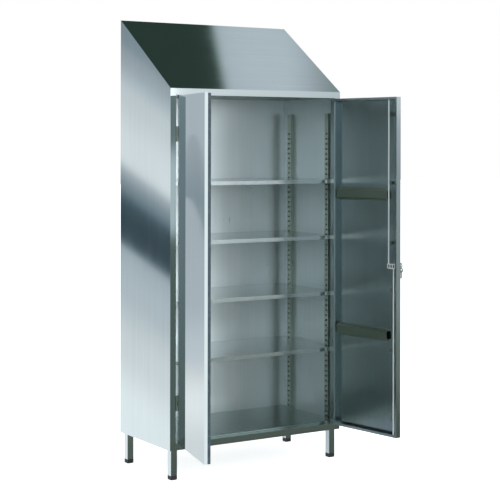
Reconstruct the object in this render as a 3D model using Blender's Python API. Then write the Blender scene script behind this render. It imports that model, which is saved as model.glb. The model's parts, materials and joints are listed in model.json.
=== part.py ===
"""Free-standing stainless steel storage cabinet with a sloping top, two hinged doors and four shelves.

Metres, +Z up. X runs across the cabinet, left to right for someone facing the doors.
Y runs from the doors (-Y) to the back (+Y). The origin is the centre of the floor panel's underside.
The doors stand open, each turned about its own hinge pins.
"""

import math

import bmesh
import bpy
from mathutils import Matrix, Vector

# Overall size
WIDTH = 0.950
DEPTH = 0.500
REAR_HEIGHT = 2.140
FRONT_HEIGHT = 1.795
LEG_CLEARANCE = 0.140
GROUND = -0.178

# Sheet metal and fits
SHEET = 0.0012
GAP = 0.0003
POST_WIDTH = 0.030
POST_RETURN = 0.032
RAIL_HEIGHT = 0.030
RAIL_FLANGE = 0.030
FOLD = 0.013

LEFT = -WIDTH / 2
RIGHT = WIDTH / 2
FRONT = -DEPTH / 2
BACK = DEPTH / 2
CARCASS_BOTTOM = GROUND + LEG_CLEARANCE
RAIL_TOP = CARCASS_BOTTOM + RAIL_HEIGHT
FRONT_TOP = GROUND + FRONT_HEIGHT
REAR_TOP = GROUND + REAR_HEIGHT
HEADER_BOTTOM = FRONT_TOP - RAIL_HEIGHT
SLOPE = math.atan2(REAR_TOP - FRONT_TOP, DEPTH)
INNER_HALF = RIGHT - SHEET - GAP

# Legs and feet
LEG_SIZE = 0.032
LEG_WALL = 0.0015
FOOT_HEIGHT = 0.020
FOOT_PLUG = 0.015
FOOT_CHAMFER = 0.003
FRONT_LEG_SIDE = 0.016
FRONT_LEG_FRONT = 0.020
REAR_LEG_SIDE = SHEET + GAP
REAR_LEG_BACK = 0.043
LEG_TOP = SHEET - FOLD - GAP

# Slotted uprights
UPRIGHT_WIDTH = 0.030
UPRIGHT_DEPTH = 0.018
UPRIGHT_LIP = 0.006
UPRIGHT_TOP = GROUND + 1.692
UPRIGHT_FRONTS = {"front": FRONT + 0.072, "rear": FRONT + 0.406}
SLOT_PITCH = 0.025
SLOT_WIDTH = 0.014
SLOT_HEIGHT = 0.009
SLOT_COUNT = 57
UPRIGHT_FACE = INNER_HALF - UPRIGHT_DEPTH

# Shelves and their clips
SHELF_SLOTS = 11
SHELF_TOPS = [GROUND + 0.540 + SHELF_SLOTS * SLOT_PITCH * step for step in range(4)]
SHELF_LIP = 0.018
SHELF_HEM = 0.010
SHELF_FRONT = FRONT + 0.034
SHELF_BACK = BACK - SHEET - 0.002
SHELF_HALF = INNER_HALF - 0.001
NOTCH_CLEARANCE = 0.0015
CLIP_THICKNESS = 0.002
CLIP_WIDTH = 0.011
CLIP_LEDGE = 0.014
CLIP_TAIL = 0.009
SLOTS_ABOVE_TOP_SHELF = 9
SLOT_FLOOR = SHEET + 2 * GAP + CLIP_THICKNESS
TOP_SLOT = SHELF_TOPS[-1] + SLOTS_ABOVE_TOP_SHELF * SLOT_PITCH + SLOT_HEIGHT / 2 - SLOT_FLOOR

# Doors
DOOR_BOTTOM = GROUND + 0.173
DOOR_TOP = GROUND + 1.761
DOOR_DEPTH = 0.028
DOOR_EDGE = RIGHT - POST_WIDTH - 0.0032
CENTRE_GAP = 0.003
HINGE_LIP = 0.025
MEETING_LIP = 0.010
END_LIP = 0.012
LEFT_OPEN = math.radians(104.2)
RIGHT_OPEN = math.radians(98.5)
STIFFENER_BOTTOMS = {"lower": GROUND + 0.612, "upper": GROUND + 1.271}
STIFFENER_HEIGHT = 0.061
STIFFENER_CROWN = 0.035
STIFFENER_DEPTH = 0.015
STIFFENER_SLANT = 0.004
STIFFENER_INSET = 0.032
STIFFENER_END = 0.074

# Hinges
PIN_X = RIGHT - POST_WIDTH - 0.0016
PIN_Y = FRONT - 0.004
PIN_RADIUS = 0.0019
KNUCKLE_BORE = 0.0021
KNUCKLE_RADIUS = 0.0035
HINGE_HEIGHT = 0.070
KNUCKLE_SPLIT = 0.023
LEAF_THICKNESS = 0.001
LEAF_DEPTH = 0.026
LEAF_CLEARANCE = 0.0042
HINGE_CENTRES = {"upper": GROUND + 1.586, "lower": GROUND + 0.356}

# Rod lock in the right door, in the closed position
LOCK_X = 0.040
LOCK_Z = GROUND + 0.970
LOCK_HOLE = 0.0095
LOCK_BARREL = 0.0092
LOCK_HEAD = 0.0125
LOCK_HEAD_DEPTH = 0.012
LOCK_LENGTH = 0.017
PLUG_RADIUS = 0.0065
PLUG_CLEARANCE = 0.0002
KEYWAY = (0.0026, 0.0084)
CAM_REACH = 0.017
CAM_WIDTH = 0.014
CAM_THICKNESS = 0.002
STUD_RADIUS = 0.003
ROD_WIDTH = 0.008
ROD_THICKNESS = 0.0025
YOKE_WINDOW = 0.0155
YOKE_INNER = 0.0045
YOKE_BORDER = 0.004
ROD_SLOT_MARGIN = 0.0015
KEY_THICKNESS = 0.002
KEY_BLADE = 0.007
KEY_INSERT = 0.020
KEY_SHANK = 0.018
BOW_RADIUS = 0.012
BOW_HOLE = 0.0042
SPARE_BLADE = 0.026
RING_RADIUS = 0.0085
RING_WIRE = 0.0008

# Facets on round pieces, and how far a cutter passes through sheet
ROUND = 32
FINE = 24
HALF_ROUND = 8
OVERCUT = 4 * SHEET


def clear_scene():
    for obj in list(bpy.data.objects):
        bpy.data.objects.remove(obj, do_unlink=True)


def material(name, colour, metallic, roughness):
    mat = bpy.data.materials.new(name)
    mat.use_nodes = True
    shader = mat.node_tree.nodes["Principled BSDF"]
    shader.inputs["Base Color"].default_value = (*colour, 1.0)
    shader.inputs["Metallic"].default_value = metallic
    shader.inputs["Roughness"].default_value = roughness
    return mat


def add_object(name, bm, mat, smooth=False):
    """Turn a bmesh into a named object with outward faces."""
    bmesh.ops.recalc_face_normals(bm, faces=bm.faces)
    mesh = bpy.data.meshes.new(name)
    bm.to_mesh(mesh)
    bm.free()
    mesh.materials.append(mat)
    if smooth:
        mesh.shade_smooth()
        mesh.set_sharp_from_angle(angle=math.radians(40))
    obj = bpy.data.objects.new(name, mesh)
    bpy.context.collection.objects.link(obj)
    return obj


def combine(target, operand, operation):
    """Apply one exact boolean to target and discard the operand."""
    step = target.modifiers.new("step", "BOOLEAN")
    step.object = operand
    step.operation = operation
    step.solver = "EXACT"
    graph = bpy.context.evaluated_depsgraph_get()
    result = bpy.data.meshes.new_from_object(target.evaluated_get(graph))
    target.modifiers.remove(step)
    target.data = result
    bpy.data.objects.remove(operand, do_unlink=True)


def cut(target, operand):
    combine(target, operand, "DIFFERENCE")


def join(target, operand):
    combine(target, operand, "UNION")


def prism(name, outline, axis, low, high, mat, smooth=False):
    """Extrude a closed outline along an axis.

    The outline's two coordinates are the remaining axes in X, Y, Z order.
    """
    slots = [i for i in range(3) if i != "XYZ".index(axis)]
    bm = bmesh.new()
    verts = []
    for point in outline:
        co = [0.0, 0.0, 0.0]
        co["XYZ".index(axis)] = low
        co[slots[0]], co[slots[1]] = point
        verts.append(bm.verts.new(co))
    base = bm.faces.new(verts)
    top = bmesh.ops.extrude_face_region(bm, geom=[base])
    shift = [0.0, 0.0, 0.0]
    shift["XYZ".index(axis)] = high - low
    moved = [item for item in top["geom"] if isinstance(item, bmesh.types.BMVert)]
    bmesh.ops.translate(bm, verts=moved, vec=shift)
    return add_object(name, bm, mat, smooth)


def block(name, x_span, y_span, z_span, mat):
    outline = [
        (x_span[0], y_span[0]),
        (x_span[1], y_span[0]),
        (x_span[1], y_span[1]),
        (x_span[0], y_span[1]),
    ]
    return prism(name, outline, "Z", z_span[0], z_span[1], mat)


def circle(centre, radius, count):
    steps = [2 * math.pi * i / count for i in range(count)]
    return [(centre[0] + radius * math.cos(a), centre[1] + radius * math.sin(a)) for a in steps]


def cylinder(name, centre, radius, axis, low, high, mat, count=ROUND):
    return prism(name, circle(centre, radius, count), axis, low, high, mat, smooth=True)


def folded_outline(path, thickness):
    """Outline of a bent sheet: the path is one face, the sheet lies on its left."""
    points = [Vector(p) for p in path]
    runs = [(b - a).normalized() for a, b in zip(points, points[1:])]
    normals = [Vector((-run.y, run.x)) for run in runs]
    inner = [points[0] + normals[0] * thickness]
    for point, before, after in zip(points[1:-1], normals, normals[1:]):
        bisector = (before + after).normalized()
        inner.append(point + bisector * (thickness / bisector.dot(before)))
    inner.append(points[-1] + normals[-1] * thickness)
    return [tuple(p) for p in points] + [tuple(p) for p in reversed(inner)]


def folded_sheet(name, path, axis, low, high, mat):
    return prism(name, folded_outline(path, SHEET), axis, low, high, mat)


def mirrored(outline):
    return [(-x, y) for x, y in outline]


# Carcass


def side_panel(name, side, steel):
    """Side wall up to the sloping top, folded at the front into a post and its return."""
    inner = side * (RIGHT - SHEET)
    outer = side * RIGHT
    wall = prism(
        name,
        [(FRONT, CARCASS_BOTTOM), (BACK, CARCASS_BOTTOM), (BACK, REAR_TOP), (FRONT, FRONT_TOP)],
        "X",
        min(inner, outer),
        max(inner, outer),
        steel,
    )
    post_top = HEADER_BOTTOM - GAP
    post_inner = RIGHT - POST_WIDTH
    x_span = sorted((side * post_inner, outer))
    join(wall, block("post_face", x_span, (FRONT, FRONT + SHEET), (CARCASS_BOTTOM, post_top), steel))
    x_span = sorted((side * post_inner, side * (post_inner + SHEET)))
    y_span = (FRONT, FRONT + POST_RETURN)
    join(wall, block("post_return", x_span, y_span, (RAIL_TOP, post_top), steel))
    return wall


def back_panel(steel):
    top = REAR_TOP - SHEET
    return block(
        "back_panel", (-INNER_HALF, INNER_HALF), (BACK - SHEET, BACK), (CARCASS_BOTTOM, top), steel
    )


def roof_panel(steel):
    """Sloping lid between the side walls, folded down into the header over the doors.

    Its bottom flange has the slot that the upper lock rod enters.
    """
    rear = BACK - SHEET - GAP
    rear_top = FRONT_TOP + (rear - FRONT) * math.tan(SLOPE)
    path = [
        (rear, rear_top - FOLD),
        (rear, rear_top),
        (FRONT, FRONT_TOP),
        (FRONT, HEADER_BOTTOM),
        (FRONT + RAIL_FLANGE, HEADER_BOTTOM),
    ]
    roof = folded_sheet("roof_panel", path, "X", -INNER_HALF, INNER_HALF, steel)
    cut(roof, rod_slot(1, HEADER_BOTTOM, steel))


def base_rail(steel):
    """Front rail under the doors, with a top flange that the lower lock rod enters."""
    half = RIGHT - POST_WIDTH - GAP
    path = [(FRONT + RAIL_FLANGE, RAIL_TOP), (FRONT, RAIL_TOP), (FRONT, CARCASS_BOTTOM)]
    rail = folded_sheet("base_rail", path, "X", -half, half, steel)
    cut(rail, rod_slot(-1, RAIL_TOP, steel))


def floor_panel(steel):
    front = FRONT + POST_RETURN + GAP
    rear = BACK - SHEET - GAP
    path = [(rear, SHEET - FOLD), (rear, SHEET), (front, SHEET), (front, SHEET - FOLD)]
    return folded_sheet("floor_panel", path, "X", -INNER_HALF, INNER_HALF, steel)


def ceiling_panel(steel):
    front = FRONT + POST_RETURN + GAP
    rear = BACK - SHEET - GAP
    low = HEADER_BOTTOM
    path = [(front, low + FOLD), (front, low), (rear, low), (rear, low + FOLD)]
    return folded_sheet("ceiling_panel", path, "X", -INNER_HALF, INNER_HALF, steel)


def build_carcass(steel):
    side_panel("left_side_panel", -1, steel)
    side_panel("right_side_panel", 1, steel)
    back_panel(steel)
    roof_panel(steel)
    base_rail(steel)
    floor_panel(steel)
    ceiling_panel(steel)


# Legs


def leg_and_foot(place, x_low, y_low, steel, plastic):
    x_span = (x_low, x_low + LEG_SIZE)
    y_span = (y_low, y_low + LEG_SIZE)
    foot_top = GROUND + FOOT_HEIGHT
    leg = block(f"{place}_leg", x_span, y_span, (foot_top + GAP, LEG_TOP), steel)
    bore_x = (x_low + LEG_WALL, x_low + LEG_SIZE - LEG_WALL)
    bore_y = (y_low + LEG_WALL, y_low + LEG_SIZE - LEG_WALL)
    cut(leg, block("bore", bore_x, bore_y, (GROUND, LEG_TOP + FOLD), steel))

    bm = bmesh.new()
    centre = Vector((x_low + LEG_SIZE / 2, y_low + LEG_SIZE / 2, 0))
    half = LEG_SIZE / 2
    plug = half - LEG_WALL - GAP
    levels = [
        (half - FOOT_CHAMFER, GROUND),
        (half, GROUND + FOOT_CHAMFER),
        (half, foot_top),
        (plug, foot_top),
        (plug, foot_top + FOOT_PLUG),
    ]
    corners = [(-1, -1), (1, -1), (1, 1), (-1, 1)]
    rings = []
    for reach, height in levels:
        ring = [bm.verts.new(centre + Vector((cx * reach, cy * reach, height))) for cx, cy in corners]
        rings.append(ring)
    for lower, upper in zip(rings, rings[1:]):
        for i in range(4):
            bm.faces.new((lower[i], lower[i - 3], upper[i - 3], upper[i]))
    bm.faces.new(rings[0])
    bm.faces.new(rings[-1])
    add_object(f"{place}_foot", bm, plastic)


def build_legs(steel, plastic):
    front_y = FRONT + FRONT_LEG_FRONT
    rear_y = BACK - REAR_LEG_BACK - LEG_SIZE
    leg_and_foot("front_left", LEFT + FRONT_LEG_SIDE, front_y, steel, plastic)
    leg_and_foot("front_right", RIGHT - FRONT_LEG_SIDE - LEG_SIZE, front_y, steel, plastic)
    leg_and_foot("rear_left", LEFT + REAR_LEG_SIDE, rear_y, steel, plastic)
    leg_and_foot("rear_right", RIGHT - REAR_LEG_SIDE - LEG_SIZE, rear_y, steel, plastic)


# Uprights, shelves and clips


def upright(name, side, front, steel):
    """Channel on the side wall with a ladder of slots in its inward face."""
    rear = front + UPRIGHT_WIDTH
    wall = INNER_HALF
    path = [
        (wall, front + UPRIGHT_LIP),
        (wall, front),
        (UPRIGHT_FACE, front),
        (UPRIGHT_FACE, rear),
        (wall, rear),
        (wall, rear - UPRIGHT_LIP),
    ]
    outline = folded_outline(list(reversed(path)), SHEET)
    if side < 0:
        outline = mirrored(outline)
    bottom = SHEET + GAP
    channel = prism(name, outline, "Z", bottom, UPRIGHT_TOP, steel)
    bm = bmesh.new()
    middle = front + UPRIGHT_WIDTH / 2
    for step in range(SLOT_COUNT):
        height = TOP_SLOT - step * SLOT_PITCH
        scale = Matrix.Diagonal((OVERCUT, SLOT_WIDTH, SLOT_HEIGHT, 1))
        place = Matrix.Translation((side * UPRIGHT_FACE, middle, height))
        bmesh.ops.create_cube(bm, size=1, matrix=place @ scale)
    cut(channel, add_object("slots", bm, steel))


def shelf(name, top, steel):
    """Tray with a hemmed lip at the front and back, notched around the uprights."""
    low = top - SHELF_LIP
    path = [
        (SHELF_BACK - SHELF_HEM, low),
        (SHELF_BACK, low),
        (SHELF_BACK, top),
        (SHELF_FRONT, top),
        (SHELF_FRONT, low),
        (SHELF_FRONT + SHELF_HEM, low),
    ]
    tray = folded_sheet(name, path, "X", -SHELF_HALF, SHELF_HALF, steel)
    for side in (-1, 1):
        x_span = sorted((side * (UPRIGHT_FACE - NOTCH_CLEARANCE), side * (RIGHT + SHEET)))
        for front in UPRIGHT_FRONTS.values():
            y_span = (front - NOTCH_CLEARANCE, front + UPRIGHT_WIDTH + NOTCH_CLEARANCE)
            cut(tray, block("notch", x_span, y_span, (low - SHEET, top + SHEET), steel))


def shelf_clip(name, side, front, shelf_top, steel):
    """Bent strip hooked through a slot, with its tail behind the face and its ledge under the shelf."""
    top = shelf_top - SHEET - GAP
    tail = UPRIGHT_FACE + SHEET + GAP
    ledge = UPRIGHT_FACE - CLIP_LEDGE
    path = [(ledge, top), (tail + CLIP_THICKNESS, top), (tail + CLIP_THICKNESS, top - CLIP_TAIL)]
    outline = folded_outline(list(reversed(path)), CLIP_THICKNESS)
    if side < 0:
        outline = mirrored(outline)
    middle = front + UPRIGHT_WIDTH / 2
    prism(name, outline, "Y", middle - CLIP_WIDTH / 2, middle + CLIP_WIDTH / 2, steel)


def build_interior(rail_steel, shelf_steel, clip_steel):
    sides = {"left": -1, "right": 1}
    for side_name, side in sides.items():
        for row, front in UPRIGHT_FRONTS.items():
            upright(f"{row}_{side_name}_upright", side, front, rail_steel)
    for number, top in enumerate(reversed(SHELF_TOPS), start=1):
        shelf(f"shelf_{number}", top, shelf_steel)
        for side_name, side in sides.items():
            for row, front in UPRIGHT_FRONTS.items():
                name = f"shelf_{number}_{row}_{side_name}_clip"
                shelf_clip(name, side, front, top, clip_steel)


# Hinges


def hinge_frame_leaf(name, side, centre, steel):
    """Leaf on the post, its two outer knuckles and the pin held in them."""
    low = centre - HINGE_HEIGHT / 2
    high = centre + HINGE_HEIGHT / 2
    lower_split = centre - KNUCKLE_SPLIT / 2
    upper_split = centre + KNUCKLE_SPLIT / 2
    near = PIN_Y + LEAF_CLEARANCE
    far = PIN_Y + LEAF_DEPTH
    outline = [
        (PIN_Y, low),
        (far, low),
        (far, high),
        (PIN_Y, high),
        (PIN_Y, upper_split),
        (near, upper_split),
        (near, lower_split),
        (PIN_Y, lower_split),
    ]
    x_span = sorted((side * (PIN_X + GAP), side * (PIN_X + GAP + LEAF_THICKNESS)))
    leaf = prism(name, outline, "X", x_span[0], x_span[1], steel)
    pin = (side * PIN_X, PIN_Y)
    join(leaf, cylinder("knuckle", pin, KNUCKLE_RADIUS, "Z", low, lower_split, steel, FINE))
    join(leaf, cylinder("knuckle", pin, KNUCKLE_RADIUS, "Z", upper_split, high, steel, FINE))
    join(leaf, cylinder("pin", pin, PIN_RADIUS, "Z", low + SHEET, high - SHEET, steel, FINE))


def hinge_door_leaf(name, side, centre, steel):
    """Leaf on the door's edge and its middle knuckle, which turns on the pin."""
    low = centre - HINGE_HEIGHT / 2
    high = centre + HINGE_HEIGHT / 2
    lower_split = centre - KNUCKLE_SPLIT / 2 + GAP
    upper_split = centre + KNUCKLE_SPLIT / 2 - GAP
    near = PIN_Y + LEAF_CLEARANCE
    far = PIN_Y + LEAF_DEPTH
    outline = [
        (near, low),
        (far, low),
        (far, high),
        (near, high),
        (near, upper_split),
        (PIN_Y, upper_split),
        (PIN_Y, lower_split),
        (near, lower_split),
    ]
    x_span = sorted((side * (PIN_X - GAP), side * (PIN_X - GAP - LEAF_THICKNESS)))
    leaf = prism(name, outline, "X", x_span[0], x_span[1], steel)
    pin = (side * PIN_X, PIN_Y)
    join(leaf, cylinder("knuckle", pin, KNUCKLE_RADIUS, "Z", lower_split, upper_split, steel, FINE))
    cut(leaf, cylinder("bore", pin, KNUCKLE_BORE, "Z", low, high, steel, FINE))
    return leaf


# Doors


def door_pan(name, side, steel):
    """Tray-shaped door: outer skin, folded edges, and a return lip round the inner face."""
    edge = side * DOOR_EDGE
    meeting = side * CENTRE_GAP / 2
    x_low, x_high = sorted((edge, meeting))
    y_high = FRONT + DOOR_DEPTH
    pan = block(name, (x_low, x_high), (FRONT, y_high), (DOOR_BOTTOM, DOOR_TOP), steel)
    x_span = (x_low + SHEET, x_high - SHEET)
    z_span = (DOOR_BOTTOM + SHEET, DOOR_TOP - SHEET)
    cavity = block("cavity", x_span, (FRONT + SHEET, y_high - SHEET), z_span, steel)
    x_span = sorted((edge - side * HINGE_LIP, meeting + side * MEETING_LIP))
    z_span = (DOOR_BOTTOM + END_LIP, DOOR_TOP - END_LIP)
    join(cavity, block("window", x_span, (FRONT + SHEET + GAP, y_high + SHEET), z_span, steel))
    cut(pan, cavity)
    return pan


def stiffener(name, side, low, steel):
    """Top-hat bar across the inside of a door, its two feet on the outer skin."""
    high = low + STIFFENER_HEIGHT
    skin = FRONT + SHEET + GAP
    crown = skin + STIFFENER_DEPTH
    foot = (STIFFENER_HEIGHT - STIFFENER_CROWN) / 2 - STIFFENER_SLANT
    path = [
        (skin, low),
        (skin, low + foot),
        (crown, (low + high - STIFFENER_CROWN) / 2),
        (crown, (low + high + STIFFENER_CROWN) / 2),
        (skin, high - foot),
        (skin, high),
    ]
    outline = folded_outline(list(reversed(path)), SHEET)
    x_span = sorted((side * STIFFENER_END, side * (DOOR_EDGE - STIFFENER_INSET)))
    return prism(name, outline, "X", x_span[0], x_span[1], steel)


# Rod lock


def rod_span(side):
    """Depth range of a lock rod: the two rods slide one behind the other, behind the cam plate."""
    start = FRONT + LOCK_LENGTH + CAM_THICKNESS + 2 * GAP
    if side < 0:
        start += ROD_THICKNESS + GAP
    return (start, start + ROD_THICKNESS)


def rod_centre(side):
    return LOCK_X + side * CAM_REACH


def rod_slot(side, height, mat):
    """Cutter for a slot that lets a lock rod through a horizontal flange."""
    low, high = rod_span(side)
    half = ROD_WIDTH / 2 + ROD_SLOT_MARGIN
    x_span = (rod_centre(side) - half, rod_centre(side) + half)
    y_span = (low - ROD_SLOT_MARGIN, high + ROD_SLOT_MARGIN)
    return block("rod_slot", x_span, y_span, (height - OVERCUT, height + OVERCUT), mat)


def lock_body(steel):
    """Round lock housing with its head outside the door skin."""
    centre = (LOCK_X, LOCK_Z)
    head_front = FRONT - GAP - LOCK_HEAD_DEPTH
    rear = FRONT + LOCK_LENGTH
    body = cylinder("lock_body", centre, LOCK_HEAD, "Y", head_front, FRONT - GAP, steel)
    join(body, cylinder("barrel", centre, LOCK_BARREL, "Y", FRONT - 2 * GAP, rear, steel))
    bore = PLUG_RADIUS + PLUG_CLEARANCE
    cut(body, cylinder("bore", centre, bore, "Y", head_front - SHEET, rear + SHEET, steel))
    return body


def lock_cam(steel):
    """Keyed plug with a cam plate behind the door skin and a drive stud at each end."""
    front = FRONT - GAP - LOCK_HEAD_DEPTH
    cam_front = FRONT + LOCK_LENGTH + GAP
    cam_rear = cam_front + CAM_THICKNESS
    centre = (LOCK_X, LOCK_Z)
    cam = cylinder("lock_cam", centre, PLUG_RADIUS, "Y", front, cam_rear, steel)
    half = CAM_WIDTH / 2
    outline = []
    for side in (-1, 1):
        for step in range(HALF_ROUND + 1):
            angle = side * math.pi * (0.5 - step / HALF_ROUND)
            x = rod_centre(side) + side * half * math.cos(angle)
            outline.append((x, LOCK_Z + half * math.sin(angle)))
    join(cam, prism("plate", outline, "Y", cam_front, cam_rear, steel))
    for side in (-1, 1):
        stud = (rod_centre(side), LOCK_Z)
        stud_end = rod_span(side)[1] + 2 * GAP
        join(cam, cylinder("stud", stud, STUD_RADIUS, "Y", cam_front, stud_end, steel, FINE))
    x_span = (LOCK_X - KEYWAY[0] / 2, LOCK_X + KEYWAY[0] / 2)
    z_span = (LOCK_Z - KEYWAY[1] / 2, LOCK_Z + KEYWAY[1] / 2)
    cut(cam, block("keyway", x_span, (front - SHEET, front + KEY_INSERT + GAP), z_span, steel))
    return cam


def lock_rod(name, side, steel):
    """Flat rod with a yoke round a cam stud; it slides through the door's end flange."""
    y_span = rod_span(side)
    window_x = sorted((LOCK_X - side * YOKE_INNER, LOCK_X + side * (CAM_REACH + YOKE_INNER)))
    window_z = (LOCK_Z - YOKE_WINDOW / 2, LOCK_Z + YOKE_WINDOW / 2)
    frame_x = (window_x[0] - YOKE_BORDER, window_x[1] + YOKE_BORDER)
    frame_z = (window_z[0] - YOKE_BORDER, window_z[1] + YOKE_BORDER)
    rod = block(name, frame_x, y_span, frame_z, steel)
    door_end = DOOR_TOP if side > 0 else DOOR_BOTTOM
    bar_z = sorted((LOCK_Z + side * (YOKE_WINDOW / 2 + YOKE_BORDER / 2), door_end - side * SHEET / 2))
    centre = rod_centre(side)
    join(rod, block("bar", (centre - ROD_WIDTH / 2, centre + ROD_WIDTH / 2), y_span, bar_z, steel))
    cut(rod, block("window", window_x, (y_span[0] - SHEET, y_span[1] + SHEET), window_z, steel))
    return rod


def key_outline(length, bow_radius, blade):
    """Side view of a key: blade along +first axis ending in a round bow at the origin."""
    half = math.asin(blade / 2 / bow_radius)
    arc = [half + (2 * math.pi - 2 * half) * i / (ROUND - 2) for i in range(ROUND - 1)]
    points = [(bow_radius * math.cos(a), bow_radius * math.sin(a)) for a in arc]
    return points + [(length - blade / 3, -blade / 2), (length, 0.0), (length - blade / 3, blade / 2)]


def bow_centre_y():
    return FRONT - GAP - LOCK_HEAD_DEPTH - KEY_SHANK - BOW_RADIUS


def ring_plane_y():
    return bow_centre_y() - BOW_RADIUS / 3


def key_plate(name, outline, hole, steel):
    """Flat key with a round hole in its bow; outline and hole are given as (Y, Z)."""
    low = LOCK_X - KEY_THICKNESS / 2
    high = LOCK_X + KEY_THICKNESS / 2
    key = prism(name, outline, "X", low, high, steel, smooth=True)
    cut(key, cylinder("hole", hole, BOW_HOLE, "X", low - SHEET, high + SHEET, steel, FINE))
    return key


def working_key(steel):
    """Key in the lock: its blade fills the keyway and its bow stands out in front."""
    centre_y = bow_centre_y()
    blade_end = FRONT - GAP - LOCK_HEAD_DEPTH + KEY_INSERT
    outline = key_outline(blade_end - centre_y, BOW_RADIUS, KEY_BLADE)
    outline = [(centre_y + along, LOCK_Z + across) for along, across in outline]
    return key_plate("key", outline, (ring_plane_y(), LOCK_Z), steel)


def spare_key(steel):
    """Second key, hanging from the bottom of the ring."""
    wire_z = LOCK_Z - 2 * RING_RADIUS
    hole_z = wire_z + RING_WIRE + GAP - BOW_HOLE
    bow_z = hole_z - BOW_RADIUS / 3
    outline = key_outline(BOW_RADIUS + SPARE_BLADE, BOW_RADIUS, KEY_BLADE)
    outline = [(ring_plane_y() + across, bow_z - along) for along, across in outline]
    return key_plate("spare_key", outline, (ring_plane_y(), hole_z), steel)


def torus(name, centre, major, minor, mat):
    """Wire ring in the XZ plane."""
    bm = bmesh.new()
    section = bmesh.ops.create_circle(bm, segments=8, radius=minor)["verts"]
    turn = Matrix.Translation(centre) @ Matrix.Translation((major, 0, 0))
    bmesh.ops.transform(bm, matrix=turn, verts=section)
    edges = list({edge for vert in section for edge in vert.link_edges})
    bmesh.ops.spin(
        bm,
        geom=section + edges,
        cent=centre,
        axis=(0, 1, 0),
        angle=2 * math.pi,
        steps=FINE,
        use_merge=True,
    )
    bmesh.ops.remove_doubles(bm, verts=bm.verts, dist=0.00001)
    return add_object(name, bm, mat, smooth=True)


def key_ring(steel):
    """Wire ring through the holes of both keys."""
    return torus("key_ring", (LOCK_X, ring_plane_y(), LOCK_Z - RING_RADIUS), RING_RADIUS, RING_WIRE, steel)


# Moving groups


def pivot_empty(name, location, parent=None):
    """Empty on a joint axis."""
    pivot = bpy.data.objects.new(name, None)
    bpy.context.collection.objects.link(pivot)
    pivot.location = location
    if parent:
        pivot.location = Vector(location) - parent.location
        pivot.parent = parent
    return pivot


def hang_on(pivot, centre, pieces):
    """Parent closed-position pieces to a pivot whose closed position is centre."""
    closed = Matrix.Translation(-Vector(centre))
    for piece in pieces:
        piece.data.transform(closed)
        piece.parent = pivot


def build_doors(skin, bar, hinge):
    doors = {}
    for side_name, side in (("left", -1), ("right", 1)):
        pieces = [door_pan(f"{side_name}_door_panel", side, skin)]
        for level, low in STIFFENER_BOTTOMS.items():
            pieces.append(stiffener(f"{side_name}_door_{level}_stiffener", side, low, bar))
        for level, centre in HINGE_CENTRES.items():
            hinge_frame_leaf(f"{level}_{side_name}_hinge_frame_leaf", side, centre, hinge)
            pieces.append(hinge_door_leaf(f"{level}_{side_name}_hinge_door_leaf", side, centre, hinge))
        doors[side_name] = pieces
    return doors


def build_lock(door_pivot, lock_metal, rod_steel):
    """Housing and rods move with the door; the cam and key turn; the ring swings on the key."""
    hinge = door_pivot.location.copy()
    rods = [lock_rod("upper_lock_rod", 1, rod_steel), lock_rod("lower_lock_rod", -1, rod_steel)]
    hang_on(door_pivot, hinge, [lock_body(lock_metal)] + rods)
    turn_centre = (LOCK_X, FRONT, LOCK_Z)
    turn = pivot_empty("lock_pivot", turn_centre, door_pivot)
    hang_on(turn, turn_centre, [lock_cam(lock_metal), working_key(lock_metal)])
    swing_centre = (LOCK_X, ring_plane_y(), LOCK_Z)
    swing = pivot_empty("key_ring_pivot", swing_centre, door_pivot)
    hang_on(swing, swing_centre, [key_ring(lock_metal), spare_key(lock_metal)])


def main():
    clear_scene()
    panel_steel = material("panel_steel", (0.60, 0.64, 0.66), 1.0, 0.22)
    door_steel = material("door_steel", (0.62, 0.66, 0.68), 1.0, 0.20)
    shelf_steel = material("shelf_steel", (0.70, 0.73, 0.74), 1.0, 0.25)
    fitting_steel = material("fitting_steel", (0.48, 0.51, 0.50), 1.0, 0.35)
    lock_metal = material("lock_metal", (0.55, 0.56, 0.55), 1.0, 0.18)
    plastic = material("foot_plastic", (0.02, 0.025, 0.03), 0.0, 0.5)

    build_carcass(panel_steel)
    build_legs(panel_steel, plastic)
    build_interior(fitting_steel, shelf_steel, fitting_steel)
    doors = build_doors(door_steel, fitting_steel, fitting_steel)
    right_pan = doors["right"][0]
    cut(right_pan, rod_slot(1, DOOR_TOP, door_steel))
    cut(right_pan, rod_slot(-1, DOOR_BOTTOM, door_steel))
    hole = cylinder("hole", (LOCK_X, LOCK_Z), LOCK_HOLE, "Y", FRONT - OVERCUT, FRONT + OVERCUT, door_steel)
    cut(right_pan, hole)
    pivots = {}
    for side_name, side in (("left", -1), ("right", 1)):
        centre = Vector((side * PIN_X, PIN_Y, 0))
        pivots[side_name] = pivot_empty(f"{side_name}_door_pivot", centre)
        hang_on(pivots[side_name], centre, doors[side_name])
    build_lock(pivots["right"], lock_metal, fitting_steel)
    pivots["left"].rotation_euler.z = -LEFT_OPEN
    pivots["right"].rotation_euler.z = RIGHT_OPEN


main()
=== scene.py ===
"""Looks of the stainless steel storage cabinet: brushed steel, black feet, lock fittings and the studio."""

import json
import math

import bmesh
import bpy
from mathutils import Matrix, Vector

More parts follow.
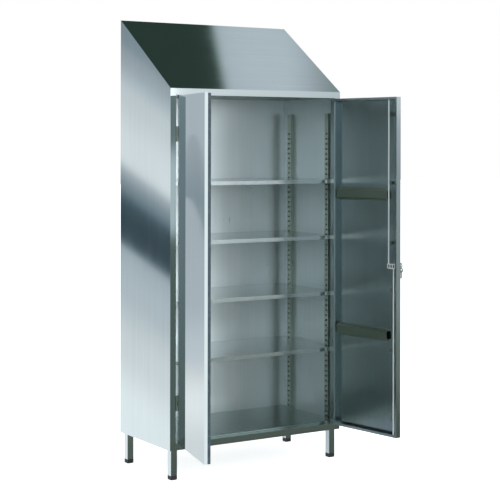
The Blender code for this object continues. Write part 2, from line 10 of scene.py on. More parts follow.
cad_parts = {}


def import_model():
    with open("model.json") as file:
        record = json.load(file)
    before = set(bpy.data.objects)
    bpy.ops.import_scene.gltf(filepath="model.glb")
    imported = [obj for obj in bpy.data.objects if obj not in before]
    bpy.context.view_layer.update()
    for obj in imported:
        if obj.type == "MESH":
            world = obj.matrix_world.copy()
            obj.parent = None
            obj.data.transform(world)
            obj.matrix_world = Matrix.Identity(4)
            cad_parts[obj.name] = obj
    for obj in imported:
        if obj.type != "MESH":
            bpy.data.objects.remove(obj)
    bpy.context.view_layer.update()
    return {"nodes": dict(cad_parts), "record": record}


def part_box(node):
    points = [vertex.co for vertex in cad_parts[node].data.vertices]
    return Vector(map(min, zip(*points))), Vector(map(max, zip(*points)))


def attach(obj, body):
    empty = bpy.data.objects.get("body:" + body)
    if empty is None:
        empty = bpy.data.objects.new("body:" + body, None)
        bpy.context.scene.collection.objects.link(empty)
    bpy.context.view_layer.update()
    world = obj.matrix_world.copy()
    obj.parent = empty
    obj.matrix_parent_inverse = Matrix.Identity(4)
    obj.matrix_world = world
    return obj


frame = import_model()
nodes = frame["nodes"]
record = frame["record"]
slot_of = {part["node"]: part["material_slot"] for part in record["subparts"]}
joints = {joint["name"]: joint for joint in record["behaviour"]["joints"]}

# Studio
CAMERA_PLACE = (-3.538, -5.800, 1.369)
CAMERA_YAW = math.radians(-32.193)
CAMERA_ROLL = math.radians(0.091)
FOCAL_LENGTH = 100.06
SENSOR = 36.0
SHIFT_X = -0.0012
SHIFT_Y = -0.215
VIEW_END = 200.0
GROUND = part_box("front_left_foot")[0].z
FLOOR_SIZE = 80.0
FLOOR_DROP = 0.0005
FLOOR_GREY = 0.93
FLOOR_LIFT = 0.75
STUDIO_GAIN = 1.3
WHITE = (1.0, 1.0, 1.0)

# Outward directions of the sheets; those of the open doors lean towards their meeting edges
FRONT = (0.0, -1.0, 0.0)
BACK = (0.0, 1.0, 0.0)
ROOF = (0.0, -0.5, 0.85)
LEFT_SIDE = (-0.7, -0.7, 0.0)
RIGHT_SIDE = (0.7, -0.7, 0.0)
LEFT_TURN = math.radians(-joints["left_door_hinge"]["range_deg"][1])
RIGHT_TURN = math.radians(-joints["right_door_hinge"]["range_deg"][0])
LEFT_DOOR = tuple(Matrix.Rotation(LEFT_TURN, 3, "Z") @ Vector((0.6, -0.8, 0.0)))
RIGHT_DOOR = tuple(Matrix.Rotation(RIGHT_TURN, 3, "Z") @ Vector((-0.6, -0.8, 0.0)))

# Small fittings
SHEET = 0.0012
GAP = 0.0003
WELD_INSET = 0.006
WELD_COUNT = 6
WELD_RADIUS = 0.0028
ROD_BAR = 0.0125
GUIDE_REACH = 0.005
GUIDE_FOOT = 0.009
GUIDE_WIDTH = 0.016
GUIDE_THICKNESS = 0.0012
GUIDE_PLACES = (0.15, 0.5, 0.9)
GUIDE_RIVET = 0.0027
PLATE_THICKNESS = 0.0014
PLATE_REACH = 1.45
NUT_THICKNESS = 0.005
NUT_BORE = 0.78
NUT_REACH = 1.02
SEAL_WIDTH = 0.013
SEAL_THICKNESS = 0.001
UPRIGHT_RIVET = 0.003
UPRIGHT_RIVET_DROPS = (0.02, 0.075, 0.4638, 0.8638, 1.2638)

# Brightness of the studio walls, as (height of the direction, level) points
FRONT_WALL = [
    (-1.0, 0.10), (-0.25, 0.08), (-0.21, 0.10), (-0.153, 0.21), (-0.11, 0.31), (-0.028, 0.38),
    (0.009, 0.47), (0.030, 0.72), (0.06, 0.85), (0.15, 1.0), (1.0, 1.0),
]
CAMERA_WALL = [(-1.0, 0.12), (-0.25, 0.22), (0.0, 0.42), (0.1, 0.6), (0.2, 0.9), (1.0, 1.0)]
LEFT_WALL = [(-1.0, 0.15), (-0.072, 0.20), (-0.060, 0.85), (-0.012, 0.85), (0.0, 0.30), (1.0, 0.45)]
REAR_WALL = [
    (-1.0, 0.7), (-0.214, 0.72), (-0.185, 0.85), (-0.149, 0.58), (-0.113, 0.47), (-0.05, 0.45),
    (0.023, 0.47), (0.2, 0.45), (1.0, 0.5),
]
REAR_CORNER = 0.10
CEILING = 0.50
CEILING_RIGHT = 0.27
OPEN_FRONT = 1.0

# Brightness of the slanted band behind, as (height above the slant, level) points
SIDE_WALL = [
    (0.0, 1.0), (0.2, 0.95), (0.24, 0.76), (0.285, 0.57), (0.3158, 0.50), (0.3166, 0.075), (0.333, 0.07),
    (0.346, 0.085), (0.357, 0.27), (0.368, 0.42), (0.376, 0.85), (0.39, 0.82), (0.424, 0.68),
    (0.449, 0.42), (0.462, 0.30), (1.0, 0.35),
]
BAND_SLANT = -0.857

# Dimming of the front wall from left to right: levels, then the X parts of the direction they belong to
FRONT_DIMMING = (1.12, 0.88, 0.49, 0.58)

# Soft steps between the zones, as (start, end) along one part of the direction
CAMERA_STEP = (-0.25, -0.05)
LEFT_STEP = (-0.78, -0.68)
REAR_CORNER_STEP = (-0.80, -0.70)
BACK_STEP = (-0.05, 0.05)
CEILING_STEP = (0.15, 0.4)
CEILING_FRONT_STEP = (-0.2, 0.1)
CEILING_RIGHT_STEP = (0.552, 0.59)

# Bounded zones, as (low, high, softness) along one part of the direction
OPEN_FRONT_SPAN = (0.012, 0.10, 0.02)
BAND_SPAN = (-0.62, -0.36, 0.1)

# Strip light that reaches the inside of the cabinet
LIGHT_LEVEL = 1.9
LIGHT_ACROSS = (0.12, 0.476, 0.014)
LIGHT_UP = (-0.05, 0.4, 0.09)

# Dark flag over the left half of the roof, and a faint glow beside it
ROOF_FLAG = 0.045
ROOF_FLAG_SLOPE = 0.656
ROOF_FLAG_EDGE = (-0.004, 0.006)
ROOF_FLAG_START = (0.1, 0.2)
GLOW = 0.06
GLOW_ACROSS = (0.535, 0.55, 0.05)
GLOW_UP = (0.757, 0.772, 0.02)

# Leaf-shaped patch behind, between an arch and a slanted base
LEAF_CENTRE = 0.0248
LEAF_ARCH = 320.0
LEAF_TOP = 0.0055
LEAF_LEFT = 0.0184
LEAF_CURVE = 137.0
LEAF_SLOPE = 0.217
LEAF_BASE = -0.0396
LEAF_EDGE = 0.001
LEAF_DIMMING = (0.66, 0.84, -0.04, 0.005)

# Colours of the studio, and the levels or directions between which they change
SHADE_FRONT = (0.84, 1.0, 0.84)
SHADE_BEHIND = (0.66, 1.0, 1.22)
SHADE_ABOVE = (0.60, 1.0, 0.80)
WALL_TINT = (0.92, 1.0, 1.08)
LIGHT_TINT = (0.98, 1.0, 1.02)
SHADE_STEP = (-0.1, 0.1)
SHADE_LEVELS = (0.10, 0.42)
LIT_LEVELS = (0.5, 0.75)


# Node helpers


def new_material(name):
    mat = bpy.data.materials.new(name)
    mat.use_nodes = True
    return mat, mat.node_tree, mat.node_tree.nodes["Principled BSDF"]


def add_node(tree, kind, values=None, **settings):
    node = tree.nodes.new(kind)
    for key, value in settings.items():
        setattr(node, key, value)
    for key, value in (values or {}).items():
        node.inputs[key].default_value = value
    return node


def scaled_coordinates(tree, scale):
    """Object coordinates stretched by a scale along X, Y and Z."""
    coords = add_node(tree, "ShaderNodeTexCoord")
    mapping = add_node(tree, "ShaderNodeMapping", {"Scale": scale})
    tree.links.new(coords.outputs["Object"], mapping.inputs["Vector"])
    return mapping.outputs["Vector"]


def noise(tree, scale, detail=2.0, roughness=0.5):
    texture = add_node(tree, "ShaderNodeTexNoise", {"Scale": 1.0, "Detail": detail, "Roughness": roughness})
    tree.links.new(scaled_coordinates(tree, scale), texture.inputs["Vector"])
    return texture.outputs["Fac"]


def remap(tree, value, low, high, from_low=0.3, from_high=0.7):
    node = add_node(
        tree,
        "ShaderNodeMapRange",
        {"From Min": from_low, "From Max": from_high, "To Min": low, "To Max": high},
    )
    tree.links.new(value, node.inputs["Value"])
    return node.outputs["Result"]


def math_node(tree, operation, first, second):
    node = add_node(tree, "ShaderNodeMath", operation=operation)
    for socket, value in zip(node.inputs, (first, second)):
        if isinstance(value, (int, float)):
            socket.default_value = value
        else:
            tree.links.new(value, socket)
    return node.outputs[0]


def blend_colours(tree, factor, first, second):
    node = add_node(tree, "ShaderNodeMix", data_type="RGBA")
    tree.links.new(factor, node.inputs["Factor"])
    for socket, value in ((node.inputs[6], first), (node.inputs[7], second)):
        if isinstance(value, tuple):
            socket.default_value = (*value, 1.0)
        else:
            tree.links.new(value, socket)
    return node.outputs[2]


def bump(tree, height, strength, distance):
    node = add_node(tree, "ShaderNodeBump", {"Strength": strength, "Distance": distance})
    tree.links.new(height, node.inputs["Height"])
    return node.outputs["Normal"]


def scaled(colour, factor):
    return tuple(min(1.0, c * factor) for c in colour)


# Materials


def edge_mask(tree, radius):
    """1 along folds and cut edges, 0 on flat sheet."""
    soft = add_node(tree, "ShaderNodeBevel", {"Radius": radius}, samples=4)
    geometry = add_node(tree, "ShaderNodeNewGeometry")
    turn = add_node(tree, "ShaderNodeVectorMath", operation="DOT_PRODUCT")
    tree.links.new(soft.outputs["Normal"], turn.inputs[0])
    tree.links.new(geometry.outputs["Normal"], turn.inputs[1])
    return remap(tree, turn.outputs["Value"], 1.0, 0.0, 0.75, 0.99)


def facing(tree, direction):
    """1 where the surface faces along a direction of the frame, 0 where it faces away."""
    coords = add_node(tree, "ShaderNodeTexCoord")
    turn = add_node(tree, "ShaderNodeVectorMath", {1: direction}, operation="DOT_PRODUCT")
    tree.links.new(coords.outputs["Normal"], turn.inputs[0])
    return remap(tree, turn.outputs["Value"], 0.0, 1.0, 0.1, 0.3)


def brushed_steel(name, colour, roughness, grain, outward=None, inside=0.0, sheen=1.0):
    """Stainless sheet: fine grain along one axis, faint smears, and brighter rubbed edges.

    With an outward direction, the faces turned away from it have the inside roughness,
    and a metallic value of sheen, for the dull side of the sheet.
    """
    mat, tree, shader = new_material(name)
    along, mid, across = 1.5, 90.0, 1400.0
    fine = noise(tree, [along if axis == grain else across for axis in "XYZ"], 2.0)
    streak = noise(tree, [along if axis == grain else mid for axis in "XYZ"], 3.0)
    cloud = noise(tree, (3.0, 3.0, 2.2), 3.0, 0.55)
    smear = noise(tree, (14.0, 14.0, 6.0), 4.0, 0.6)

    darker = scaled(colour, 0.93)
    sheet = blend_colours(tree, remap(tree, cloud, 0.0, 1.0), darker, colour)
    lighter = scaled(colour, 1.05)
    sheet = blend_colours(tree, remap(tree, streak, 0.0, 0.6), sheet, lighter)
    sheet = blend_colours(tree, remap(tree, fine, 0.0, 0.35), sheet, darker)
    rubbed = scaled(colour, 1.25)
    sheet = blend_colours(tree, edge_mask(tree, 0.0010), sheet, rubbed)
    tree.links.new(sheet, shader.inputs["Base Color"])

    base = roughness
    if outward:
        base = remap(tree, facing(tree, outward), inside, roughness, 0.0, 1.0)
    spread = math_node(tree, "ADD", remap(tree, smear, -0.10, 0.14), remap(tree, streak, -0.06, 0.06))
    spread = math_node(tree, "MULTIPLY", spread, base)
    level = math_node(tree, "ADD", spread, base)
    tree.links.new(level, shader.inputs["Roughness"])
    shader.inputs["Metallic"].default_value = 1.0
    if sheen < 1.0:
        dulled = remap(tree, facing(tree, outward), sheen, 1.0, 0.0, 1.0)
        tree.links.new(dulled, shader.inputs["Metallic"])

    tree.links.new(bump(tree, fine, 0.2, 0.000003), shader.inputs["Normal"])
    return mat


def nickel_plate(name, colour):
    """Plated die-cast metal: smooth, with fine pits and finger marks."""
    mat, tree, shader = new_material(name)
    marks = noise(tree, (160.0, 160.0, 160.0), 4.0, 0.6)
    pits = noise(tree, (2600.0, 2600.0, 2600.0), 1.0)
    darker = scaled(colour, 0.7)
    plated = blend_colours(tree, remap(tree, marks, 0.0, 1.0), darker, colour)
    rubbed = scaled(colour, 1.3)
    plated = blend_colours(tree, edge_mask(tree, 0.0006), plated, rubbed)
    tree.links.new(plated, shader.inputs["Base Color"])
    tree.links.new(remap(tree, marks, 0.14, 0.34), shader.inputs["Roughness"])
    shader.inputs["Metallic"].default_value = 1.0
    tree.links.new(bump(tree, pits, 0.12, 0.0002), shader.inputs["Normal"])
    return mat


def moulded_plastic(name, colour):
    """Moulded plastic or rubber: fine spark-eroded texture, greyer where it is scuffed."""
    mat, tree, shader = new_material(name)
    texture = noise(tree, (900.0, 900.0, 900.0), 3.0)
    scuff = noise(tree, (60.0, 60.0, 160.0), 4.0, 0.65)
    scuffed = tuple(c * 2.2 + 0.02 for c in colour)
    skin = blend_colours(tree, remap(tree, scuff, 0.0, 0.8, 0.45, 0.75), colour, scuffed)
    tree.links.new(skin, shader.inputs["Base Color"])
    tree.links.new(remap(tree, scuff, 0.38, 0.62), shader.inputs["Roughness"])
    tree.links.new(bump(tree, texture, 0.25, 0.0003), shader.inputs["Normal"])
    return mat


STEEL = (0.575, 0.645, 0.655)
# Back panel: the same steel painted much lighter, painted light standing in for the light on the back wall
LIT_BACK_STEEL = (0.88, 0.97, 0.99)
FITTING_STEEL = (0.35, 0.41, 0.36)
BAR_STEEL = (0.38, 0.44, 0.36)
SHELF_STEEL = (0.64, 0.71, 0.71)
# Floor and ceiling panels inside: the same steel painted much darker, painted shade
SHADED_INSIDE_STEEL = (0.22, 0.29, 0.28)
# Lock rods: the steel painted nearly white, painted light so the rods read as lit
LIT_ROD_STEEL = (0.90, 0.97, 0.97)
NICKEL = (0.55, 0.56, 0.53)
BLACK_PLASTIC = (0.012, 0.016, 0.020)
GREY_RUBBER = (0.045, 0.075, 0.090)

# Colour, roughness and grain; for sheet with a dull side also outward direction, dull roughness and sheen
steels = {
    "panel_steel": (STEEL, 0.10, "Z"),
    "rail_steel": (STEEL, 0.08, "X", FRONT, 0.30),
    "roof_steel": (STEEL, 0.045, "X", ROOF, 0.30),
    # back panel: steel colour painted lighter, painted light
    "back_steel": (LIT_BACK_STEEL, 0.06, "Z", BACK, 0.32, 0.8),
    # floor and ceiling panels: steel colour painted darker, painted shade
    "lining_steel": (SHADED_INSIDE_STEEL, 0.14, "X", FRONT, 0.30),
    "left_side_steel": (STEEL, 0.045, "Z", LEFT_SIDE, 0.33, 0.8),
    "right_side_steel": (STEEL, 0.045, "Z", RIGHT_SIDE, 0.33, 0.8),
    "left_door_steel": (STEEL, 0.032, "Z", LEFT_DOOR, 0.20),
    "right_door_steel": (STEEL, 0.032, "Z", RIGHT_DOOR, 0.20),
    "shelf_steel": (SHELF_STEEL, 0.15, "X", FRONT, 0.20),
    "fitting_steel": (FITTING_STEEL, 0.28, "Z"),
    "bar_steel": (BAR_STEEL, 0.34, "Y"),
    # lock rods: steel colour painted lighter, painted light
    "rod_steel": (LIT_ROD_STEEL, 0.30, "Z", RIGHT_DOOR, 0.34, 0.3),
}
materials = {name: brushed_steel(name, *values) for name, values in steels.items()}
materials["lock_metal"] = nickel_plate("lock_metal", NICKEL)
materials["foot_plastic"] = moulded_plastic("foot_plastic", BLACK_PLASTIC)
materials["seal_rubber"] = moulded_plastic("seal_rubber", GREY_RUBBER)
look_of = {
    "roof_panel": "roof_steel",
    "back_panel": "back_steel",
    "base_rail": "rail_steel",
    "floor_panel": "lining_steel",
    "ceiling_panel": "lining_steel",
    "left_side_panel": "left_side_steel",
    "right_side_panel": "right_side_steel",
    "left_door_panel": "left_door_steel",
    "right_door_panel": "right_door_steel",
    "upper_lock_rod": "rod_steel",
    "lower_lock_rod": "rod_steel",
    "left_door_lower_stiffener": "bar_steel",
    "left_door_upper_stiffener": "bar_steel",
    "right_door_lower_stiffener": "bar_steel",
    "right_door_upper_stiffener": "bar_steel",
}


def dress_cad_nodes():
    for name, obj in nodes.items():
        obj.data.materials.clear()
        obj.data.materials.append(materials[look_of.get(name, slot_of[name])])


# Small fittings


def add_piece(name, bm, look, body):
    """Named piece riding on a body, with its finish slot."""
    bmesh.ops.recalc_face_normals(bm, faces=bm.faces)
    mesh = bpy.data.meshes.new(name)
    bm.to_mesh(mesh)
    bm.free()
    mesh.materials.append(materials[look])
    mesh.shade_smooth()
    mesh.set_sharp_from_angle(angle=math.radians(35))
    piece = bpy.data.objects.new(name, mesh)
    bpy.context.collection.objects.link(piece)
    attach(piece, body)
    return piece


def polar(radius, angle, height):
    return Vector((radius * math.cos(angle), radius * math.sin(angle), height))


def turned(bm, place, profile_points, count=20):
    """Solid turned about the local Z axis of place, from (radius, height) points."""
    angles = [2 * math.pi * i / count for i in range(count)]
    rings = []
    for radius, height in profile_points:
        rings.append([bm.verts.new(place @ polar(radius, a, height)) for a in angles])
    for lower, upper in zip(rings, rings[1:]):
        for i in range(count):
            bm.faces.new((lower[i], lower[i - 1], upper[i - 1], upper[i]))
    bm.faces.new(rings[0])
    bm.faces.new(rings[-1])


def rivet(bm, place, radius):
    """Domed rivet head standing on the local XY plane of place."""
    dome = [(radius, 0.0), (radius, 0.14 * radius), (0.93 * radius, 0.3 * radius)]
    dome += [(0.7 * radius, 0.47 * radius), (0.35 * radius, 0.56 * radius), (0.08 * radius, 0.58 * radius)]
    turned(bm, place, dome)


def collar(bm, place, bore, edge, thickness, count=48):
    """Ring about the local Z axis of place; edge gives the outer radius at an angle."""
    angles = [2 * math.pi * i / count for i in range(count)]
    loops = []
    chamfer = thickness * 0.2
    for inset, height in ((chamfer, 0.0), (0.0, chamfer), (0.0, thickness - chamfer), (chamfer, thickness)):
        loops.append([bm.verts.new(place @ polar(edge(a) - inset, a, height)) for a in angles])
        loops.insert(0, [bm.verts.new(place @ polar(bore + inset * 0.5, a, height)) for a in angles])
    for first, second in zip(loops, loops[1:] + loops[:1]):
        for i in range(count):
            bm.faces.new((first[i], first[i - 1], second[i - 1], second[i]))


def strap(bm, place, path, thickness, width):
    """Bent strip: path in the local XY plane, thickened to its left and extruded along Z."""
    points = [Vector(p) for p in path]
    runs = [(b - a).normalized() for a, b in zip(points, points[1:])]
    normals = [Vector((-run.y, run.x)) for run in runs]
    offset = [points[0] + normals[0] * thickness]
    for point, before, after in zip(points[1:-1], normals, normals[1:]):
        bisector = (before + after).normalized()
        offset.append(point + bisector * (thickness / bisector.dot(before)))
    offset.append(points[-1] + normals[-1] * thickness)
    outline = points + list(reversed(offset))
    ends = []
    for height in (-width / 2, width / 2):
        ends.append([bm.verts.new(place @ Vector((p.x, p.y, height))) for p in outline])
    count = len(outline)
    for i in range(count):
        bm.faces.new((ends[0][i], ends[0][i - 1], ends[1][i - 1], ends[1][i]))
    bm.faces.new(ends[0])
    bm.faces.new(ends[1])


def door_place(side):
    """Turns closed-door coordinates into the open door's place."""
    joint = joints[f"{side}_door_hinge"]
    pin = Vector(joint["pos_m"])
    turn = LEFT_TURN if side == "left" else RIGHT_TURN
    return Matrix.Translation(pin) @ Matrix.Rotation(turn, 4, "Z") @ Matrix.Translation(-pin)


def closed_box(name, side):
    """Lowest and highest corner of a door's node as it is with the door closed."""
    back = door_place(side).inverted()
    corners = [back @ vert.co for vert in nodes[name].data.vertices]
    low = Vector([min(c[i] for c in corners) for i in range(3)])
    high = Vector([max(c[i] for c in corners) for i in range(3)])
    return low, high


def along_y(place, x, y, z):
    """Local Z axis pointing to the inside of a closed door."""
    return place @ Matrix.Translation((x, y, z)) @ Matrix.Rotation(-math.pi / 2, 4, "X")


def stiffener_welds(side):
    """Rows of spot welds that hold the bars' feet to the door skin."""
    bm = bmesh.new()
    place = door_place(side)
    for level in ("lower", "upper"):
        low, high = closed_box(f"{side}_door_{level}_stiffener", side)
        start = low.x + WELD_INSET * 2
        length = high.x - low.x - WELD_INSET * 4
        for z in (low.z + WELD_INSET, high.z - WELD_INSET):
            for step in range(WELD_COUNT):
                x = start + length * step / (WELD_COUNT - 1)
                rivet(bm, along_y(place, x, low.y + SHEET, z), WELD_RADIUS)
    add_piece(f"{side}_door_spot_welds", bm, "fitting_steel", f"{side}_door")


def rod_guides():
    """Saddles riveted to the right door's skin, with the lock rods sliding through them."""
    place = door_place("right")
    skin = closed_box("right_door_panel", "right")[0].y + SHEET + GAP
    bm = bmesh.new()
    for rod in ("upper_lock_rod", "lower_lock_rod"):
        low, high = closed_box(rod, "right")
        upper = rod == "upper_lock_rod"
        centre = low.x + ROD_BAR if upper else high.x - ROD_BAR
        start, end = (low.z, high.z) if upper else (high.z, low.z)
        crown = high.y + GAP
        path = [
            (centre - GUIDE_REACH - GUIDE_FOOT, skin),
            (centre - GUIDE_REACH, skin),
            (centre - GUIDE_REACH, crown),
            (centre + GUIDE_REACH, crown),
            (centre + GUIDE_REACH, skin),
            (centre + GUIDE_REACH + GUIDE_FOOT, skin),
        ]
        rivet_reach = GUIDE_REACH + GUIDE_FOOT / 2
        for share in GUIDE_PLACES:
            z = start + (end - start) * share
            level = place @ Matrix.Translation((0.0, 0.0, z))
            strap(bm, level, path, GUIDE_THICKNESS, GUIDE_WIDTH)
            for x in (centre - rivet_reach, centre + rivet_reach):
                rivet(bm, along_y(place, x, skin + GUIDE_THICKNESS, z), GUIDE_RIVET)
    add_piece("lock_rod_guides", bm, "fitting_steel", "right_door")


def hexagon(apothem, angle):
    """Distance from the centre of a hexagon to its edge at an angle."""
    sector = math.pi / 3
    return apothem / math.cos((angle + sector / 2) % sector - sector / 2)


def lock_trim():
    """Round plate under the lock's head and hexagonal nut behind the door skin."""
    place = door_place("right")
    low, high = closed_box("lock_body", "right")
    skin = closed_box("right_door_panel", "right")[0].y
    x, z = (low.x + high.x) / 2, (low.z + high.z) / 2
    radius = (high.x - low.x) / 2
    bm = bmesh.new()
    outside = along_y(place, x, skin - GAP - PLATE_THICKNESS, z)
    collar(bm, outside, radius + GAP, lambda angle: radius * PLATE_REACH, PLATE_THICKNESS)
    add_piece("lock_plate", bm, "lock_metal", "right_door")
    bm = bmesh.new()
    inside = along_y(place, x, skin + SHEET + GAP, z)
    collar(bm, inside, radius * NUT_BORE, lambda angle: hexagon(radius * NUT_REACH, angle), NUT_THICKNESS)
    add_piece("lock_nut", bm, "lock_metal", "right_door")


def meeting_seal():
    """Dark rubber strip down the inner half of the left door's meeting edge."""
    bm = bmesh.new()
    low, high = closed_box("left_door_panel", "left")
    face = high.x + GAP
    crown = face + SEAL_THICKNESS * 0.4
    front, rear = high.y - SEAL_WIDTH, high.y - GAP
    path = [(face, front), (crown, front + SEAL_THICKNESS), (crown, rear - SEAL_THICKNESS), (face, rear)]
    place = door_place("left") @ Matrix.Translation((0.0, 0.0, (low.z + high.z) / 2))
    strap(bm, place, path, -SEAL_THICKNESS * 0.5, high.z - low.z - 2 * SHEET)
    add_piece("left_door_meeting_seal", bm, "seal_rubber", "left_door")


def upright_rivets():
    """Rivets between the slots of the uprights."""
    bm = bmesh.new()
    for side, sign in (("left", -1), ("right", 1)):
        for row in ("front", "rear"):
            low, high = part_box(f"{row}_{side}_upright")
            face = high[0] if sign < 0 else low[0]
            middle = (low[1] + high[1]) / 2
            turn = Matrix.Rotation(-sign * math.pi / 2, 4, "Y")
            for drop in UPRIGHT_RIVET_DROPS:
                place = Matrix.Translation((face, middle, high[2] - drop)) @ turn
                rivet(bm, place, UPRIGHT_RIVET)
    add_piece("upright_rivets", bm, "fitting_steel", "carcass")


def fittings():
    stiffener_welds("left")
    stiffener_welds("right")
    rod_guides()
    lock_trim()
    upright_rivets()
    meeting_seal()


# Studio


def ease(tree, value, start, end):
    """0 below start, 1 above end, with a smooth step between them."""
    node = add_node(tree, "ShaderNodeMapRange", {"From Min": start, "From Max": end})
    node.interpolation_type = "SMOOTHSTEP"
    tree.links.new(value, node.inputs["Value"])
    return node.outputs["Result"]


def window(tree, value, low, high, soft):
    """1 between low and high, fading to 0 over a distance soft outside them."""
    rise = ease(tree, value, low - soft, low)
    fall = ease(tree, value, high, high + soft)
    return math_node(tree, "MULTIPLY", rise, math_node(tree, "SUBTRACT", 1.0, fall))


def profile(tree, value, points):
    """Grey level read from (value, level) points."""
    low, high = points[0][0], points[-1][0]
    share = remap(tree, value, 0.0, 1.0, low, high)
    node = add_node(tree, "ShaderNodeValToRGB")
    node.color_ramp.interpolation = "EASE"
    elements = node.color_ramp.elements
    for element, (place, level) in zip(elements, (points[0], points[-1])):
        element.position = (place - low) / (high - low)
        element.color = (level, level, level, 1.0)
    for place, level in points[1:-1]:
        element = elements.new((place - low) / (high - low))
        element.color = (level, level, level, 1.0)
    tree.links.new(share, node.inputs["Fac"])
    return node.outputs["Color"]


def mix_values(tree, factor, first, second):
    """Number between first and second."""
    node = add_node(tree, "ShaderNodeMix", data_type="FLOAT")
    for index, value in ((0, factor), (2, first), (3, second)):
        if isinstance(value, (int, float)):
            node.inputs[index].default_value = value
        else:
            tree.links.new(value, node.inputs[index])
    return node.outputs[0]


def combined(tree, first, second, weight):
    """first + weight * second."""
    return math_node(tree, "ADD", first, math_node(tree, "MULTIPLY", second, weight))


def front_side(tree, x, z):
    """Level of the walls in front of the cabinet, with the strip light and the open front."""
    level = profile(tree, z, FRONT_WALL)
    level = math_node(tree, "MULTIPLY", level, remap(tree, x, *FRONT_DIMMING))
    light = math_node(tree, "MULTIPLY", window(tree, x, *LIGHT_ACROSS), window(tree, z, *LIGHT_UP))
    level = mix_values(tree, light, level, LIGHT_LEVEL)
    level = mix_values(tree, ease(tree, x, *CAMERA_STEP), profile(tree, z, CAMERA_WALL), level)
    level = mix_values(tree, ease(tree, x, *LEFT_STEP), profile(tree, z, LEFT_WALL), level)
    return mix_values(tree, window(tree, x, *OPEN_FRONT_SPAN), level, OPEN_FRONT)


def parabola(tree, x, z, centre, weight, slope=0.0):
    """z raised by a parabola about x = -centre, with a slope added."""
    offset = math_node(tree, "ADD", x, centre)
    raised = combined(tree, z, math_node(tree, "MULTIPLY", offset, offset), weight)
    return combined(tree, raised, offset, slope)


def rear_side(tree, x, z):
    """Level of the walls behind the cabinet, with the leaf-shaped patch and the slanted band."""
    level = profile(tree, z, REAR_WALL)
    arch = parabola(tree, x, z, LEAF_CENTRE, LEAF_ARCH)
    under_arch = math_node(tree, "SUBTRACT", 1.0, ease(tree, arch, LEAF_TOP, LEAF_TOP + LEAF_EDGE))
    base = parabola(tree, x, z, LEAF_LEFT, LEAF_CURVE, LEAF_SLOPE)
    over_base = ease(tree, base, LEAF_BASE, LEAF_BASE + LEAF_EDGE)
    leaf = math_node(tree, "MULTIPLY", under_arch, over_base)
    dimmed = math_node(tree, "MULTIPLY", level, remap(tree, z, *LEAF_DIMMING))
    level = mix_values(tree, leaf, level, dimmed)
    band = profile(tree, combined(tree, z, x, BAND_SLANT), SIDE_WALL)
    level = mix_values(tree, window(tree, x, *BAND_SPAN), level, band)
    return mix_values(tree, ease(tree, x, *REAR_CORNER_STEP), REAR_CORNER, level)


def overhead(tree, x, y, z):
    """Level of the ceiling, with the dark flag and the glow beside it."""
    across = combined(tree, x, z, -ROOF_FLAG_SLOPE)
    flag = math_node(tree, "SUBTRACT", 1.0, ease(tree, across, *ROOF_FLAG_EDGE))
    flag = math_node(tree, "MULTIPLY", flag, ease(tree, x, *ROOF_FLAG_START))
    flag = math_node(tree, "MULTIPLY", flag, ease(tree, y, *ROOF_FLAG_START))
    glow = math_node(tree, "MULTIPLY", window(tree, x, *GLOW_ACROSS), window(tree, z, *GLOW_UP))
    level = mix_values(tree, ease(tree, x, *CEILING_RIGHT_STEP), CEILING, CEILING_RIGHT)
    level = combined(tree, level, glow, GLOW)
    level = mix_values(tree, flag, level, ROOF_FLAG)
    return mix_values(tree, ease(tree, y, *CEILING_FRONT_STEP), OPEN_FRONT, level)


def studio_level(tree, x, y, z):
    """Brightness of the studio by direction: pale walls, a darker floor and flags beside the light."""
    walls = mix_values(tree, ease(tree, y, *BACK_STEP), front_side(tree, x, z), rear_side(tree, x, z))
    return mix_values(tree, ease(tree, z, *CEILING_STEP), walls, overhead(tree, x, y, z))


def studio_tint(tree, level, y, z):
    """Colour of the studio: cool walls, with a green cast in the shade in front and above."""
    shade = blend_colours(tree, ease(tree, y, *SHADE_STEP), SHADE_FRONT, SHADE_BEHIND)
    shade = blend_colours(tree, ease(tree, z, *CEILING_STEP), shade, SHADE_ABOVE)
    lit = blend_colours(tree, ease(tree, level, *LIT_LEVELS), WALL_TINT, LIGHT_TINT)
    return blend_colours(tree, ease(tree, level, *SHADE_LEVELS), shade, lit)


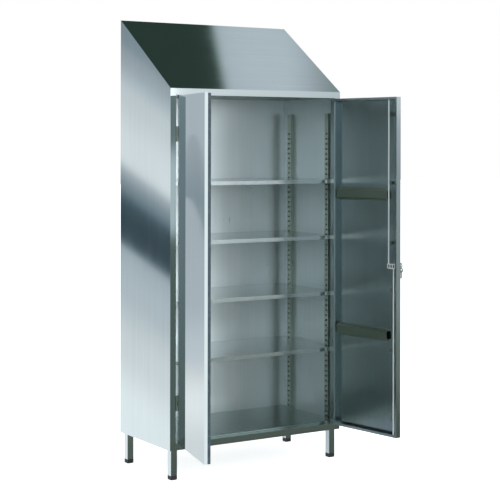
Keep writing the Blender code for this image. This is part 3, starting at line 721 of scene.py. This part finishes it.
def world():
    """White to the camera; a soft studio to the light and the reflections."""
    scene_world = bpy.data.worlds.new("studio")
    bpy.context.scene.world = scene_world
    scene_world.use_nodes = True
    tree = scene_world.node_tree
    background = tree.nodes["Background"]
    coords = add_node(tree, "ShaderNodeTexCoord")
    direction = add_node(tree, "ShaderNodeSeparateXYZ")
    tree.links.new(coords.outputs["Generated"], direction.inputs[0])
    x, y, z = direction.outputs
    level = studio_level(tree, x, y, z)
    tint = studio_tint(tree, level, y, z)
    paths = add_node(tree, "ShaderNodeLightPath")
    seen = paths.outputs["Is Camera Ray"]
    tree.links.new(blend_colours(tree, seen, tint, WHITE), background.inputs["Color"])
    strength = math_node(tree, "MULTIPLY", level, STUDIO_GAIN)
    tree.links.new(mix_values(tree, seen, strength, 1.0), background.inputs["Strength"])


def floor():
    """Pale floor, lit to the white of the background and left out of the reflections."""
    mesh = bpy.data.meshes.new("floor")
    bm = bmesh.new()
    bmesh.ops.create_grid(bm, x_segments=1, y_segments=1, size=FLOOR_SIZE / 2)
    bm.to_mesh(mesh)
    bm.free()
    obj = bpy.data.objects.new("floor", mesh)
    bpy.context.collection.objects.link(obj)
    obj.location.z = GROUND - FLOOR_DROP
    obj.visible_glossy = False
    mat, tree, shader = new_material("floor_paper")
    shader.inputs["Base Color"].default_value = (FLOOR_GREY, FLOOR_GREY, FLOOR_GREY, 1.0)
    shader.inputs["Roughness"].default_value = 0.9
    shader.inputs["Emission Color"].default_value = (*WHITE, 1.0)
    paths = add_node(tree, "ShaderNodeLightPath")
    lift = math_node(tree, "MULTIPLY", paths.outputs["Is Camera Ray"], FLOOR_LIFT)
    tree.links.new(lift, shader.inputs["Emission Strength"])
    mesh.materials.append(mat)


def camera():
    data = bpy.data.cameras.new("camera")
    data.lens = FOCAL_LENGTH
    data.sensor_width = SENSOR
    data.shift_x = SHIFT_X
    data.shift_y = SHIFT_Y
    data.clip_end = VIEW_END
    obj = bpy.data.objects.new("camera", data)
    bpy.context.collection.objects.link(obj)
    obj.location = CAMERA_PLACE
    turn = Matrix.Rotation(CAMERA_YAW, 4, "Z") @ Matrix.Rotation(math.pi / 2, 4, "X")
    obj.rotation_euler = (turn @ Matrix.Rotation(CAMERA_ROLL, 4, "Z")).to_euler()
    bpy.context.scene.camera = obj


dress_cad_nodes()
fittings()
world()
floor()
camera()
bpy.context.scene.view_settings.view_transform = "Standard"
